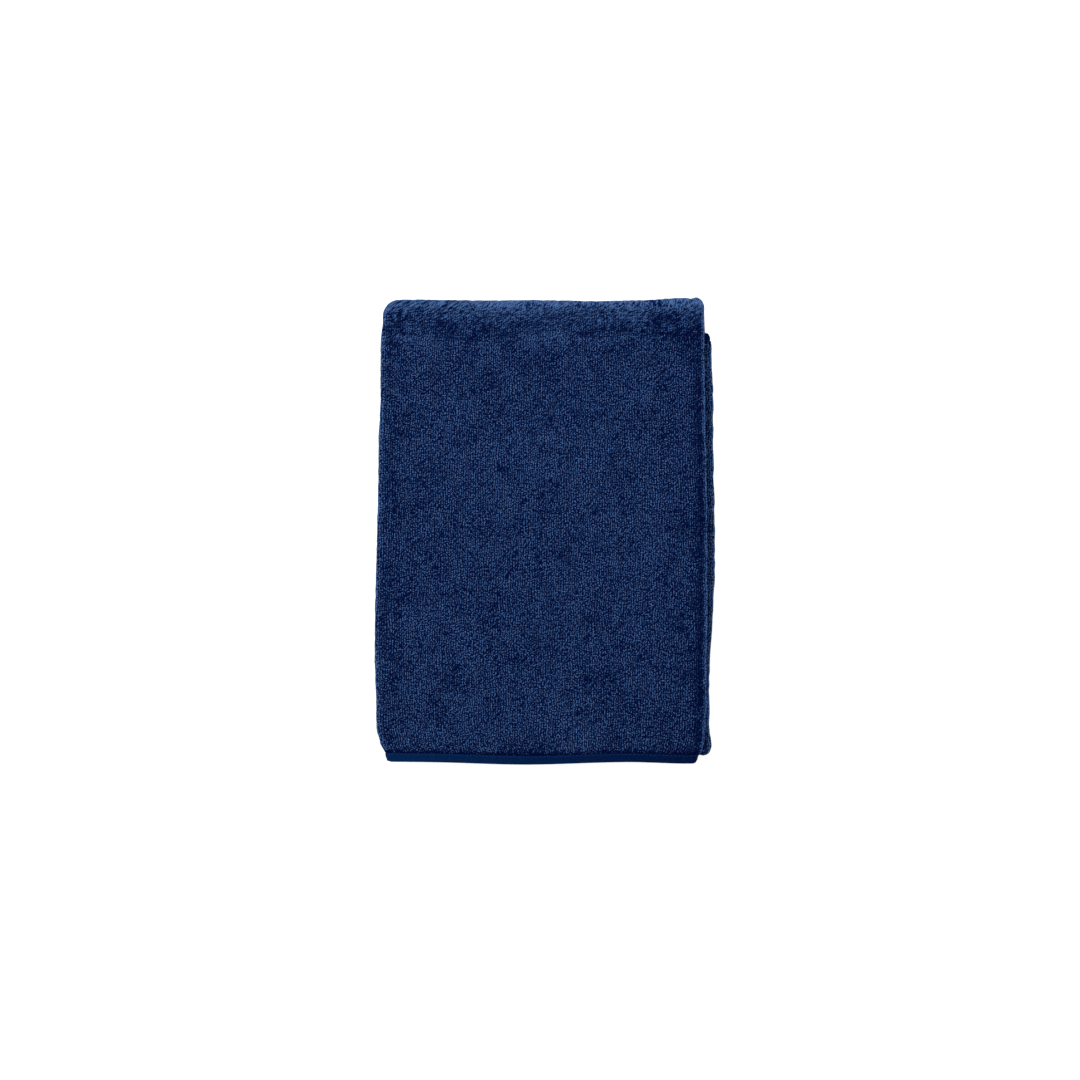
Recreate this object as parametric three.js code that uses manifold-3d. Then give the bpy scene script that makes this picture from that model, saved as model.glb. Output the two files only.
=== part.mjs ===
// A bath towel, folded for the shelf.
//
// The towel is one sheet of terry cloth, with a tape bound over each short end and a narrow stitched hem down
// each long edge. It is folded in half lengthwise, which puts a soft side fold on the left and the two hemmed
// edges on the right, and then in three like an accordion: the base third lies on the shelf, the middle third
// turns back over it at the lower fold, and the top third turns over again at the upper fold.
//
// Each third is two layers of cloth joined by its length of side fold. The thirds turn about the two cross
// folds, so each layer and each fold roll is its own solid.
//
// Units are millimetres. X runs across the towel, Y along it towards the upper fold, and Z is up.
// The origin is the centre of the folded towel's footprint, on the shelf.

import * as THREE from "three";
import { mergeVertices } from "three/addons/utils/BufferGeometryUtils.js";
import Module from "manifold-3d";

const wasm = await Module();
wasm.setup();

// --- Driving dimensions ---------------------------------------------------------------------------------------

const FLAT_WIDTH = 690; // the finished towel, opened out
const FLAT_LENGTH = 1385;
const CLOTH = 3.4; // thickness of one layer, with the pile of both faces
const LAYER_GAP = 0.3; // between two layers, and between a piece and its seat

const HEM_OVERHANG = 5; // the top third's bound end passes the lower fold by this much
const BASE_SHORTFALL = 34; // the base third's bound end stops this far short of the upper fold
const BASE_SHIFT = 8; // the base third lies this far to the right of the two above it

const TAPE = 0.5; // thickness of the binding tape
const BINDING_WIDTH = 8.4; // width of the bound end, from the last pile to the fold of the tape
const TONGUE = 0.6; // the ground cloth squeezed inside the tape
const TONGUE_ROOT = 1.5; // how far the tongue is drawn reaching back into the pile
const BINDING_INSET = 9; // the bound end draws in this far at the side edges
const CORNER_RADIUS = 12; // rounded corner of the cloth at a bound end

const THREAD = 0.4;
const STITCH_GAP = 0.15; // between a line of stitches and the tape under it
const STITCH_INSET = 1.1; // from the tape's edge to the line of stitches along it
const SIDE_HEM = 10; // width of the turned hem on a long edge, to its line of stitches
const STITCH_GROOVE = 1.2; // the pile is drawn in this far along the side hem's stitches

const ARC_STEPS = 12; // facets of a half turn

// --- Sizes that follow from them ------------------------------------------------------------------------------

const pitch = CLOTH + LAYER_GAP; // from one layer's middle to the next one's
const thirdPitch = 2 * pitch; // from one third's middle to the next one's
const innerRoll = pitch / 2; // middle radius of a roll that turns one layer onto its neighbour
const outerRoll = 1.5 * pitch; // middle radius of the roll that wraps round it
const rollReach = LAYER_GAP + outerRoll + CLOTH / 2; // how far a cross fold stands out past the flat layers
const sideReach = innerRoll + CLOTH / 2; // how far the side fold stands out from its own axis

const layerWidth = (FLAT_WIDTH - Math.PI * innerRoll) / 2; // from the side fold's axis to the hemmed edge
const crossArc = (Math.PI * (innerRoll + outerRoll)) / 2; // mean length of cloth in one cross fold
const middleLength =
  (FLAT_LENGTH - 2 * crossArc - 2 * rollReach - HEM_OVERHANG + BASE_SHORTFALL) / 3;
const topLength = middleLength + rollReach + HEM_OVERHANG;
const baseLength = middleLength + rollReach - BASE_SHORTFALL;

const packLength = rollReach + topLength;
const packWidth = layerWidth + sideReach + BASE_SHIFT;
const upperFoldY = packLength / 2 - rollReach;
const lowerFoldY = upperFoldY - middleLength;
const sideFoldX = -packWidth / 2 + sideReach;

const bindingHalf = TONGUE / 2 + LAYER_GAP + TAPE; // half the thickness of a bound end
const stitchHalf = bindingHalf + STITCH_GAP; // where the thread's underside lies, from the layer's middle

const baseZ = CLOTH + LAYER_GAP / 2; // middle height of the base third, whose lower layer lies on the shelf

// Each third: its middle height, the axis of its side fold, and the Y of its folded and its other end.
const thirds = {
  base: { z: baseZ, x: sideFoldX + BASE_SHIFT, fold: lowerFoldY, end: lowerFoldY + baseLength },
  middle: { z: baseZ + thirdPitch, x: sideFoldX, fold: lowerFoldY, end: upperFoldY },
  top: { z: baseZ + 2 * thirdPitch, x: sideFoldX, fold: upperFoldY, end: upperFoldY - topLength },
};

// --- Materials ------------------------------------------------------------------------------------------------

const terry = new THREE.MeshStandardMaterial({ name: "terry", color: 0x182b50, roughness: 0.95, metalness: 0 });
const tape = new THREE.MeshStandardMaterial({ name: "tape", color: 0x061b41, roughness: 0.7, metalness: 0 });
const thread = new THREE.MeshStandardMaterial({ name: "thread", color: 0x0c2850, roughness: 0.6, metalness: 0 });

// --- Building blocks ------------------------------------------------------------------------------------------

const towel = new THREE.Group();

function add(name, geometry, material) {
  const mesh = new THREE.Mesh(geometry, material);
  mesh.name = name;
  towel.add(mesh);
}

function toSolid(geometry) {
  const bare = geometry.index ? geometry.toNonIndexed() : geometry.clone();
  bare.deleteAttribute("normal");
  bare.deleteAttribute("uv");
  const merged = mergeVertices(bare, 1e-4);
  const mesh = new wasm.Mesh({
    numProp: 3,
    vertProperties: new Float32Array(merged.attributes.position.array),
    triVerts: new Uint32Array(merged.index.array),
  });
  return new wasm.Manifold(mesh);
}

function toGeometry(solid) {
  const mesh = solid.getMesh();
  const geometry = new THREE.BufferGeometry();
  geometry.setAttribute("position", new THREE.BufferAttribute(mesh.vertProperties, 3));
  geometry.setIndex(new THREE.BufferAttribute(mesh.triVerts, 1));
  return geometry;
}

function box(x0, x1, y0, y1, z0, z1) {
  const geometry = new THREE.BoxGeometry(x1 - x0, Math.abs(y1 - y0), z1 - z0);
  return geometry.translate((x0 + x1) / 2, (y0 + y1) / 2, (z0 + z1) / 2);
}

// A flat outline in X and Y, given a thickness upwards from z0.
function slab(shape, z0, thickness) {
  const geometry = new THREE.ExtrudeGeometry(shape, { depth: thickness, bevelEnabled: false, curveSegments: 6 });
  return geometry.translate(0, 0, z0);
}

// A section drawn in X and Z, carried along Y from y0 to y1.
function alongY(shape, y0, y1) {
  const depth = Math.abs(y1 - y0);
  const geometry = new THREE.ExtrudeGeometry(shape, { depth, bevelEnabled: false, curveSegments: ARC_STEPS });
  return geometry.rotateX(Math.PI / 2).translate(0, Math.max(y0, y1), 0);
}

// A section drawn in Y and Z, carried along X from x0 to x1.
function alongX(shape, x0, x1) {
  const geometry = new THREE.ExtrudeGeometry(shape, {
    depth: x1 - x0,
    bevelEnabled: false,
    curveSegments: ARC_STEPS,
  });
  return geometry.rotateX(Math.PI / 2).rotateZ(Math.PI / 2).translate(x0, 0, 0);
}

// Half a ring, open towards the flat layers. side is 1 where the roll stands out along the first axis, -1 where
// it stands out against it.
function halfRing(centre, height, radius, thickness, side) {
  const outer = radius + thickness / 2;
  const inner = radius - thickness / 2;
  const shape = new THREE.Shape();
  shape.absarc(centre, height, outer, -Math.PI / 2, Math.PI / 2, side < 0);
  shape.absarc(centre, height, inner, Math.PI / 2, -Math.PI / 2, side > 0);
  shape.closePath();
  return shape;
}

// The section of a strip that runs along the upper layer, round the side fold and back along the lower layer.
// low and high are the strip's two faces, as distances outwards from the middle of the layers' cloth.
function wrap(third, length, low, high) {
  const right = third.x + length;
  const outer = innerRoll + high;
  const inner = innerRoll + low;
  const shape = new THREE.Shape();
  shape.moveTo(right, third.z + inner);
  shape.lineTo(right, third.z + outer);
  shape.absarc(third.x, third.z, outer, Math.PI / 2, (3 * Math.PI) / 2, false);
  shape.lineTo(right, third.z - outer);
  shape.lineTo(right, third.z - inner);
  shape.absarc(third.x, third.z, inner, (3 * Math.PI) / 2, Math.PI / 2, true);
  shape.closePath();
  return shape;
}

// --- Cloth ----------------------------------------------------------------------------------------------------

// One layer's outline: square at the fold, with rounded corners where it meets the bound end.
function layerOutline(left, right, fold, end) {
  const along = Math.sign(end - fold);
  const shape = new THREE.Shape();
  shape.moveTo(left, fold);
  shape.lineTo(right, fold);
  shape.lineTo(right, end - along * CORNER_RADIUS);
  shape.quadraticCurveTo(right, end, right - CORNER_RADIUS, end);
  shape.lineTo(left, end);
  shape.closePath();
  return shape;
}

function rectangle(left, right, fold, end) {
  const shape = new THREE.Shape();
  shape.moveTo(left, fold);
  shape.lineTo(right, fold);
  shape.lineTo(right, end);
  shape.lineTo(left, end);
  shape.closePath();
  return shape;
}

// The tongue of bare ground cloth that the tape is folded over.
function tongue(third, side) {
  const along = Math.sign(third.end - third.fold);
  const z = third.z + side * innerRoll;
  return box(
    third.x + LAYER_GAP,
    third.x + layerWidth - BINDING_INSET,
    third.end - along * (BINDING_WIDTH + LAYER_GAP + TONGUE_ROOT),
    third.end - along * (TAPE + LAYER_GAP),
    z - TONGUE / 2,
    z + TONGUE / 2
  );
}

// side is 1 for the upper layer and -1 for the lower one.
function layer(third, side, bound) {
  const along = Math.sign(third.end - third.fold);
  const left = third.x + LAYER_GAP;
  const right = third.x + layerWidth;
  const z = third.z + side * innerRoll;
  const pileEnd = bound ? third.end - along * (BINDING_WIDTH + LAYER_GAP) : third.end;
  const outline = (bound ? layerOutline : rectangle)(left, right, third.fold, pileEnd);
  let solid = toSolid(slab(outline, z - CLOTH / 2, CLOTH));
  if (bound) solid = solid.add(toSolid(tongue(third, side)));
  return solid.subtract(toSolid(sideGroove(third, side)));
}

// The groove that the side hem's stitches pull into the pile on a layer's outward face.
function sideGroove(third, side) {
  const middle = third.x + layerWidth - SIDE_HEM;
  const half = THREAD / 2 + LAYER_GAP;
  const face = third.z + side * (innerRoll + CLOTH / 2);
  const floor = face - side * STITCH_GROOVE;
  const mouth = face + side * LAYER_GAP;
  return box(
    middle - half,
    middle + half,
    Math.min(third.fold, third.end) - LAYER_GAP,
    Math.max(third.fold, third.end) + LAYER_GAP,
    Math.min(floor, mouth),
    Math.max(floor, mouth)
  );
}

function sideStitching(third, side, bound) {
  const along = Math.sign(third.end - third.fold);
  const middle = third.x + layerWidth - SIDE_HEM;
  const floor = third.z + side * (innerRoll + CLOTH / 2 - STITCH_GROOVE);
  const near = floor + side * LAYER_GAP;
  const end = bound ? third.end - along * (BINDING_WIDTH + 2 * LAYER_GAP) : third.end;
  return box(
    middle - THREAD / 2,
    middle + THREAD / 2,
    third.fold,
    end,
    Math.min(near, near + side * THREAD),
    Math.max(near, near + side * THREAD)
  );
}

function sideFold(third, bound) {
  const along = Math.sign(third.end - third.fold);
  const end = bound ? third.end - along * CORNER_RADIUS : third.end;
  return alongY(halfRing(third.x, third.z, innerRoll, CLOTH, -1), third.fold, end);
}

// A cross fold lies between two thirds, a clearance past their flat layers: x is the axis of the side fold, and
// y and z are the line that the thirds turn about.
function crossFold(x, y, z, radius, side) {
  return alongX(halfRing(y + side * LAYER_GAP, z, radius, CLOTH, side), x - sideReach, x + layerWidth);
}

// --- Bound ends -----------------------------------------------------------------------------------------------

// The tape is folded over the edge of the cloth: a strip round both layers, hollowed for the ground cloth.
function binding(third) {
  const along = Math.sign(third.end - third.fold);
  const length = layerWidth - BINDING_INSET;
  const slot = TONGUE / 2 + LAYER_GAP;
  const strip = alongY(wrap(third, length, -bindingHalf, bindingHalf), third.end - along * BINDING_WIDTH, third.end);
  const hollow = alongY(
    wrap(third, length + 2 * LAYER_GAP, -slot, slot),
    third.end - along * (BINDING_WIDTH + LAYER_GAP),
    third.end - along * TAPE
  );
  return toGeometry(toSolid(strip).subtract(toSolid(hollow)));
}

// One line of thread along the tape's outward face, near the edge that meets the pile.
function endStitching(third) {
  const along = Math.sign(third.end - third.fold);
  const length = layerWidth - BINDING_INSET;
  const line = third.end - along * (BINDING_WIDTH - STITCH_INSET);
  return alongY(wrap(third, length, stitchHalf, stitchHalf + THREAD), line, line - along * THREAD);
}

// --- The towel ------------------------------------------------------------------------------------------------

for (const [name, third] of Object.entries(thirds)) {
  const bound = name !== "middle";
  for (const [place, side] of [["upper", 1], ["lower", -1]]) {
    add(`${name}_${place}_layer`, toGeometry(layer(third, side, bound)), terry);
    add(`${name}_${place}_side_stitching`, sideStitching(third, side, bound), thread);
  }
  add(`${name}_side_fold`, sideFold(third, bound), terry);
  if (bound) {
    add(`${name}_end_binding`, binding(third), tape);
    add(`${name}_end_stitching`, endStitching(third), thread);
  }
}

const lowerFoldZ = (thirds.base.z + thirds.middle.z) / 2;
const upperFoldZ = (thirds.middle.z + thirds.top.z) / 2;
for (const [place, radius] of [["inner", innerRoll], ["outer", outerRoll]]) {
  add(`lower_fold_${place}`, crossFold(thirds.middle.x, lowerFoldY, lowerFoldZ, radius, -1), terry);
  add(`upper_fold_${place}`, crossFold(thirds.top.x, upperFoldY, upperFoldZ, radius, 1), terry);
}

export default towel;
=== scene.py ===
import bpy
import numpy as np
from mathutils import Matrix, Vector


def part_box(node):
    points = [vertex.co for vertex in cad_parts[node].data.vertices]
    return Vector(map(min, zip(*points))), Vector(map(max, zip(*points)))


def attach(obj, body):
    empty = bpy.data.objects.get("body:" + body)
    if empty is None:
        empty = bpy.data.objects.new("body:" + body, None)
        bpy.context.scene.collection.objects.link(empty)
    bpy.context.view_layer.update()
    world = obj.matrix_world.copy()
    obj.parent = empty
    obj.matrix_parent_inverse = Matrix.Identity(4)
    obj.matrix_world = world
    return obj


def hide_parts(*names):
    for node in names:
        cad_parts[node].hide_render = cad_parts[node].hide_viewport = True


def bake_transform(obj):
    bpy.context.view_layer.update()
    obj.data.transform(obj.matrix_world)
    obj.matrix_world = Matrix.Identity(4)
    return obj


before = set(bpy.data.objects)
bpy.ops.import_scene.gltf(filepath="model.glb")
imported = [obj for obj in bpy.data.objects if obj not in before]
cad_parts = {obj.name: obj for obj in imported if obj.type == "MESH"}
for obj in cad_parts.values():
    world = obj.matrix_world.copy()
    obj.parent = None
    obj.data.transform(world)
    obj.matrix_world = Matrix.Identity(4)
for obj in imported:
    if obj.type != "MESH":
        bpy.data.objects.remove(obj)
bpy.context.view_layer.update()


# --- The studio -------------------------------------------------------------------------------------------
# A pale matt table that gives off a little light of its own, seen from straight above. The light is a bright,
# even room with two large soft panels, a strong one beyond the towel's upper fold and a weak one at its left,
# so that the pile is lit from there and the shadows are faint.

CAMERA_LENS = 85
CAMERA_HEIGHT = 2.66
CAMERA_POINT = (-0.0047, -0.0093)  # a little left of the towel's middle and towards its bound end
TABLE_SIZE = 12.0
TABLE_GREY = (0.72, 0.72, 0.72, 1)
TABLE_GLOW = 0.5
ROOM_LIGHT = 1.15
WHITE = (1, 1, 1, 1)

camera = bpy.data.objects.new("camera", bpy.data.cameras.new("camera"))
camera.data.lens = CAMERA_LENS
camera.data.sensor_width = 36
camera.location = (*CAMERA_POINT, CAMERA_HEIGHT)
bpy.context.scene.collection.objects.link(camera)
bpy.context.scene.camera = camera
bpy.context.scene.view_settings.view_transform = "Standard"


def make_material(name):
    """A new node material, returned with its node tree and its Principled BSDF."""
    material = bpy.data.materials.new(name)
    material.use_nodes = True
    return material, material.node_tree, material.node_tree.nodes["Principled BSDF"]


half = TABLE_SIZE / 2
table_mesh = bpy.data.meshes.new("table")
table_corners = [(-half, -half, 0), (half, -half, 0), (half, half, 0), (-half, half, 0)]
table_mesh.from_pydata(table_corners, [], [(0, 1, 2, 3)])
table = bpy.data.objects.new("table", table_mesh)
bpy.context.scene.collection.objects.link(table)
table_paint, _, table_shader = make_material("table_paint")
table_shader.inputs["Base Color"].default_value = TABLE_GREY
table_shader.inputs["Roughness"].default_value = 0.9
table_shader.inputs["Specular IOR Level"].default_value = 0.1
table_shader.inputs["Emission Color"].default_value = WHITE
table_shader.inputs["Emission Strength"].default_value = TABLE_GLOW
table_mesh.materials.append(table_paint)

room = bpy.data.worlds.new("room")
room.use_nodes = True
room.node_tree.nodes["Background"].inputs["Color"].default_value = WHITE
room.node_tree.nodes["Background"].inputs["Strength"].default_value = ROOM_LIGHT
bpy.context.scene.world = room


def add_panel(name, place, size, power):
    """A square soft light at a place, facing the middle of the table."""
    panel = bpy.data.lights.new(name, "AREA")
    panel.size = size
    panel.energy = power
    light = bpy.data.objects.new(name, panel)
    light.location = place
    light.rotation_mode = "QUATERNION"
    light.rotation_quaternion = (-light.location).to_track_quat("-Z", "Y")
    bpy.context.scene.collection.objects.link(light)


add_panel("light_beyond", (-0.4, 2.3, 1.5), 1.4, 42)
add_panel("light_left", (-1.8, 0.4, 1.9), 1.6, 12)


# --- The towel, flat and folded ---------------------------------------------------------------------------
# One sheet of terry, made flat and then folded in half lengthwise and in three crosswise. Every piece is
# drawn on the flat towel, and one fold carries cloth, tapes and threads to where they lie in the pack.
#
# A place on the flat towel has three measures, in metres. across runs from one long edge to the other. along
# runs from the bound end that lies in the base third to the one that shows. above is the height over the
# middle of the cloth, towards the face that ends up outside when the towel is folded in half.

MM = 0.001


def middle_height(third):
    """The height of the middle of a third, half way between its two layers."""
    return (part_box(third + "_lower_layer")[0].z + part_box(third + "_upper_layer")[1].z) / 2


base_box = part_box("base_lower_layer")
middle_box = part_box("middle_upper_layer")
top_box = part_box("top_upper_layer")
side_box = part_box("top_side_fold")

cloth = base_box[1].z - base_box[0].z  # thickness of one layer
layer_gap = top_box[0].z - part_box("top_lower_layer")[1].z
pack_height = top_box[1].z
lower_y, upper_y = middle_box[0].y, middle_box[1].y
base_end_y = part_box("base_end_binding")[1].y
top_end_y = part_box("top_end_binding")[0].y
base_shift = base_box[1].x - top_box[1].x
side_radius = (cloth + layer_gap) / 2  # of the side fold, at the middle of the cloth
cross_radius = (middle_height("middle") - middle_height("base")) / 2  # of a cross fold, at a third's middle
layer_width = top_box[1].x - side_box[1].x
side_arc = np.pi * side_radius
cross_arc = np.pi * cross_radius

# How far along the towel each stretch begins: lower fold, middle third, upper fold and top third.
LOWER_FOLD = base_end_y - lower_y
MIDDLE = LOWER_FOLD + cross_arc
UPPER_FOLD = MIDDLE + upper_y - lower_y
TOP = UPPER_FOLD + cross_arc
LENGTH = TOP + upper_y - top_end_y
WIDTH = 2 * layer_width + side_arc


def ease(start, end, x):
    """0 before start and 1 after end, with a smooth S between them: t squared times 3 - 2t."""
    t = np.clip((x - start) / (end - start), 0, 1)
    return t * t * (3 - 2 * t)


def bump(centre, width, x):
    """A smooth rise to 1 at the centre that has faded out at about twice the width: a bell curve."""
    return np.exp(-(((x - centre) / width) ** 2))


NOISE_COLUMNS, NOISE_ROWS = 251, 241  # grid squares each way before the random hills repeat


def value_noise(x, y, size, seed):
    """Smooth random hills from -1 to 1: random heights at the corners of a square grid, joined by S curves.
    Adding whole metres to x or y, as its callers do, only picks other hills."""
    heights = np.random.default_rng(seed).uniform(-1, 1, (NOISE_COLUMNS, NOISE_ROWS))
    column, row = np.floor(x / size).astype(int), np.floor(y / size).astype(int)
    right, up = ease(0, 1, x / size - column), ease(0, 1, y / size - row)

    def corner(i, j):
        return heights[(column + i) % NOISE_COLUMNS, (row + j) % NOISE_ROWS]

    near = corner(0, 0) * (1 - right) + corner(1, 0) * right
    far = corner(0, 1) * (1 - right) + corner(1, 1) * right
    return near * (1 - up) + far * up


def edge_line(along, base, middle, top):
    """The line of an edge along the towel, from a few places on each third joined by S curves.

    A place is a share of the third's length, from its start in the direction of along, and how far the edge
    lies off its straight line, in millimetres.
    """
    spans = ((0, LOWER_FOLD, base), (MIDDLE, UPPER_FOLD, middle), (TOP, LENGTH, top))
    places = [(start + share * (end - start), off) for start, end, line in spans for share, off in line]
    line = np.full(np.shape(along), places[0][1], float)
    for (start, off), (end, next_off) in zip(places, places[1:]):
        line += (next_off - off) * ease(start, end, along)
    return line * MM


# The side fold leans out towards the lower part of the top third and draws in where the tape holds it. The
# middle third stays just inside it. Offsets are in millimetres, to the right.
SIDE_FOLD_LINE = (
    [(0, 3), (0.2, 0), (0.75, 0), (1, 9)],
    [(0, 11.3), (0.045, 5.3), (0.22, 2), (0.7, 6.1), (0.95, 9), (1, 8.4)],
    [(0, 8.4), (0.03, 8.6), (0.075, 6.5), (0.2, 6.3), (0.3, 4.2), (0.75, 0.2), (0.905, 2)]
    + [(0.93, 2.3), (0.955, 5.2), (0.985, 11.4), (0.997, 13), (1, 16)],
)
# The hemmed edges bow out in the middle of each third, and the lower fold's corner stands out past the top
# third. Offsets are in millimetres, to the right.
HEM_LINE = (
    [(0, -3.2), (0.06, -2.8), (0.16, -1), (0.3, -0.9), (0.48, 0.6)]
    + [(0.54, 0.6), (0.87, -5), (0.94, -4), (1, -0.3)],
    [(0, -0.3), (0.09, 0.6), (0.17, -5), (0.9, -5), (1, -3.1)],
    [(0, -3.1), (0.1, -3.1), (0.5, -0.1), (0.6, -0.1), (0.9, -0.9)]
    + [(0.94, -2.6), (0.97, -5.2), (0.985, -9.8), (1, -9.8)],
)
HEM_WOBBLE = 0.5 * MM
HEM_WOBBLE_LENGTH = 0.007
CORNERS = (17 * MM, 10 * MM)  # the left and right corners of the cross folds round off by this much
ROLL_REACH = 2 * cross_radius  # how far a cross fold stands out past its line


def corner_inset(from_tip, size):
    """How far a rounded corner draws in at a distance from a fold's tip: a quarter circle of that size."""
    rise = np.clip(size - from_tip, 0, size)
    return size - np.sqrt(size**2 - rise**2)


LEFT_SWELL, MIDDLE_DIP = (-0.135, 0.03), (0.05, 0.03)  # where the upper fold swells and dips, and how widely
RIGHT_SWELL = (0.1, 0.145)  # it swells from here to there


def fold_swell(x):
    """How much further than a half circle the upper fold stands out, as a share. It swells at the left, and
    most at the right."""
    return 0.14 + 0.12 * bump(*LEFT_SWELL, x) - 0.15 * bump(*MIDDLE_DIP, x) + 0.4 * ease(*RIGHT_SWELL, x)


MIDDLE_SAG = (-0.02, 0.07)  # where the bound end sags, and how widely
RIGHT_SAG = (0.08, 0.15)  # it sags from here to there


def sag(x):
    """How much shorter than its straight end the towel's bound end lies. It is longer, and so below zero,
    where it sags: in the middle and at the right."""
    return (0.3 - 2.9 * bump(*MIDDLE_SAG, x) - 1.9 * ease(*RIGHT_SAG, x)) * MM


CREASE_POINT = (0.128, 0.157)  # a point on the crease's line, in the pack
CREASE_SLOPE = 0.83
CREASE_WIDTH = 0.0028
CREASE_MIDDLE = 0.134
CREASE_FADE = (0.03, 0.006)  # the crease has faded out this far from its middle, and is whole this near


def crease(x, y, shift):
    """1 along a faint slanting crease near the pack's upper right corner, or beside it by a shift, and 0 away
    from it."""
    point_x, point_y = CREASE_POINT
    off_line = y - point_y - CREASE_SLOPE * (x - point_x) - shift
    return bump(0, CREASE_WIDTH, off_line) * ease(*CREASE_FADE, abs(x - CREASE_MIDDLE))


SETTLE_AT_FOLD = 0.6 * MM  # the pack is this much lower at the upper fold, past the base third's end
SETTLE_AT_SIDE = 1.8 * MM
SETTLE_AT_HEM = 0.5 * MM
SIDE_SLOPE = 0.022  # the pack slopes down to the side fold over this width
HEM_SLOPE = 0.02
PRESS = 0.7 * MM  # the pack is pressed in this much along the line where the base third ends below
PRESS_WIDTH = 0.0045
CREASE_DEPTH = 0.6 * MM


def undulation(x, y):
    """How far the pack's upper face lies above flat. It has slow random hills, settles at the sides, at the
    bound end and past the base third's end, and has one slanting crease near the upper right corner."""
    hills = 0.45 * value_noise(x + 1, y + 1, 0.085, 3) + 0.25 * value_noise(x + 1, y + 1, 0.034, 4)
    firm = 0.3 + 0.7 * ease(lower_y, lower_y + 0.05, y)  # the side settles less where the tape stiffens it
    left = ease(SIDE_SLOPE, 0, x - side_box[0].x) * firm * SETTLE_AT_SIDE
    right = ease(HEM_SLOPE, 0, top_box[1].x - x) * 0.4 * SETTLE_AT_SIDE
    far = ease(base_end_y, upper_y, y) * SETTLE_AT_FOLD
    near = ease(lower_y + 0.02, top_end_y, y) * SETTLE_AT_HEM
    press = bump(base_end_y - 0.003, PRESS_WIDTH, y) * PRESS
    return hills * MM - left - right - far - near - press - crease(x, y, 0) * CREASE_DEPTH


SAG_REACH = (0.09, 0.005)  # the sag begins this far from the bound end, and is whole this near
SHIFT_REACH = (0.09, -0.06)  # past the lower fold, where the base third's shift begins and is whole
END_DRAW = 1 * MM  # the hidden bound end lies this much further up the pack than its tape's line
END_DRAW_REACH = 0.06


def fold(across, along, above):
    """Where a place on the flat towel lies in the pack.

    Lengthwise, across runs along the first layer, half round the side fold and back along the second.
    Crosswise, the middle of the doubled cloth runs straight along the base third, half round the lower fold,
    back along the middle third, half round the upper fold and along the top third, and each place stands off
    it square to that line. Then the edges are drawn to their lines, the folds' corners are rounded and the
    pack settles in proportion to height.
    """
    turn = np.clip((across - layer_width) / side_radius, 0, np.pi)
    radius = side_radius + above
    second = np.clip(across - layer_width - side_arc, 0, None)
    inward = np.clip(layer_width - across, 0, None) + second
    x = side_box[1].x + inward - radius * np.sin(turn)
    off = radius * np.cos(turn)

    lower = np.pi * np.clip((along - LOWER_FOLD) / cross_arc, 0, 1)
    upper = np.pi * np.clip((along - UPPER_FOLD) / cross_arc, 0, 1)
    y = base_end_y - np.clip(along, 0, LOWER_FOLD) - cross_radius * np.sin(lower)
    y = y + np.clip(along - MIDDLE, 0, UPPER_FOLD - MIDDLE) + cross_radius * np.sin(upper)
    y = y - np.clip(along - TOP, 0, None) + off * (np.sin(lower) + np.sin(upper))
    z = middle_height("base") + cross_radius * (2 - np.cos(lower) - np.cos(upper))
    z = z + off * np.cos(lower) * np.cos(upper)

    x = x + base_shift * ease(*SHIFT_REACH, along - LOWER_FOLD)
    z = z * (1 + undulation(x, y) / pack_height)
    from_tip = np.minimum(upper_y + ROLL_REACH - y, y - lower_y + ROLL_REACH)
    from_tip = np.where((along > TOP) & (y < 0), max(CORNERS), from_tip)
    left, right = (corner_inset(from_tip, size) for size in CORNERS)
    share = (x - side_box[0].x) / (top_box[1].x - side_box[0].x)
    wobble = HEM_WOBBLE * value_noise(along + 1, 1 + 0 * along, HEM_WOBBLE_LENGTH, 5)
    hem = edge_line(along, *HEM_LINE) + wobble
    x = x + (edge_line(along, *SIDE_FOLD_LINE) + left) * (1 - share) + (hem - right) * share
    y = y + np.clip(y - upper_y, 0, None) * fold_swell(x) + sag(x) * ease(*SAG_REACH, LENGTH - along)
    y = y + END_DRAW * ease(END_DRAW_REACH, 0, along)
    return x, y, z


# --- The cloth --------------------------------------------------------------------------------------------
# Navy terry, warp knitted with pile on both faces. It is one sheet. Here it is made in five lengths, the
# three thirds and the two cross folds between them, whose ends meet row to row.

PILE_GRAIN = 4.2 * MM  # size of the tufts that stand together
PILE_DEPTH = 0.55 * MM
SIDE_HEM = 10 * MM  # from the cloth's long edge to its line of stitches
END_TURN = 4 * MM  # the pile is pressed down over this length where the tape grips it
PRESSED_SHARE = 0.42  # of its height is left there
TUFT_MEAN = 0.75  # on average the tips lie this share of the pile's depth under the layer's face
HEM_GROOVE = 0.5 * MM
HEM_GROOVE_WIDTH = 2.2 * MM
EDGE_RIDGE = 0.35 * MM
EDGE_RIDGE_PLACE, EDGE_RIDGE_WIDTH = 1.5 * MM, 1.6 * MM
FLATTENED = 0.6 * MM  # the pile is flattened this much where the open towel's thirds lie over each other
FLATTENED_REACH = (0.04, 0.03)  # from a third's end, where that begins and where it is whole
FLATTENED_EDGE = 0.005
INSIDE_EASE = 0.1 * MM  # the pile inside the half fold stays this far under the layer's face


def end_distance(along):
    """How far a place on the cloth is from the pile's nearer end, where the tape begins."""
    return np.minimum(along - base_pile_end, top_pile_end - along)


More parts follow.
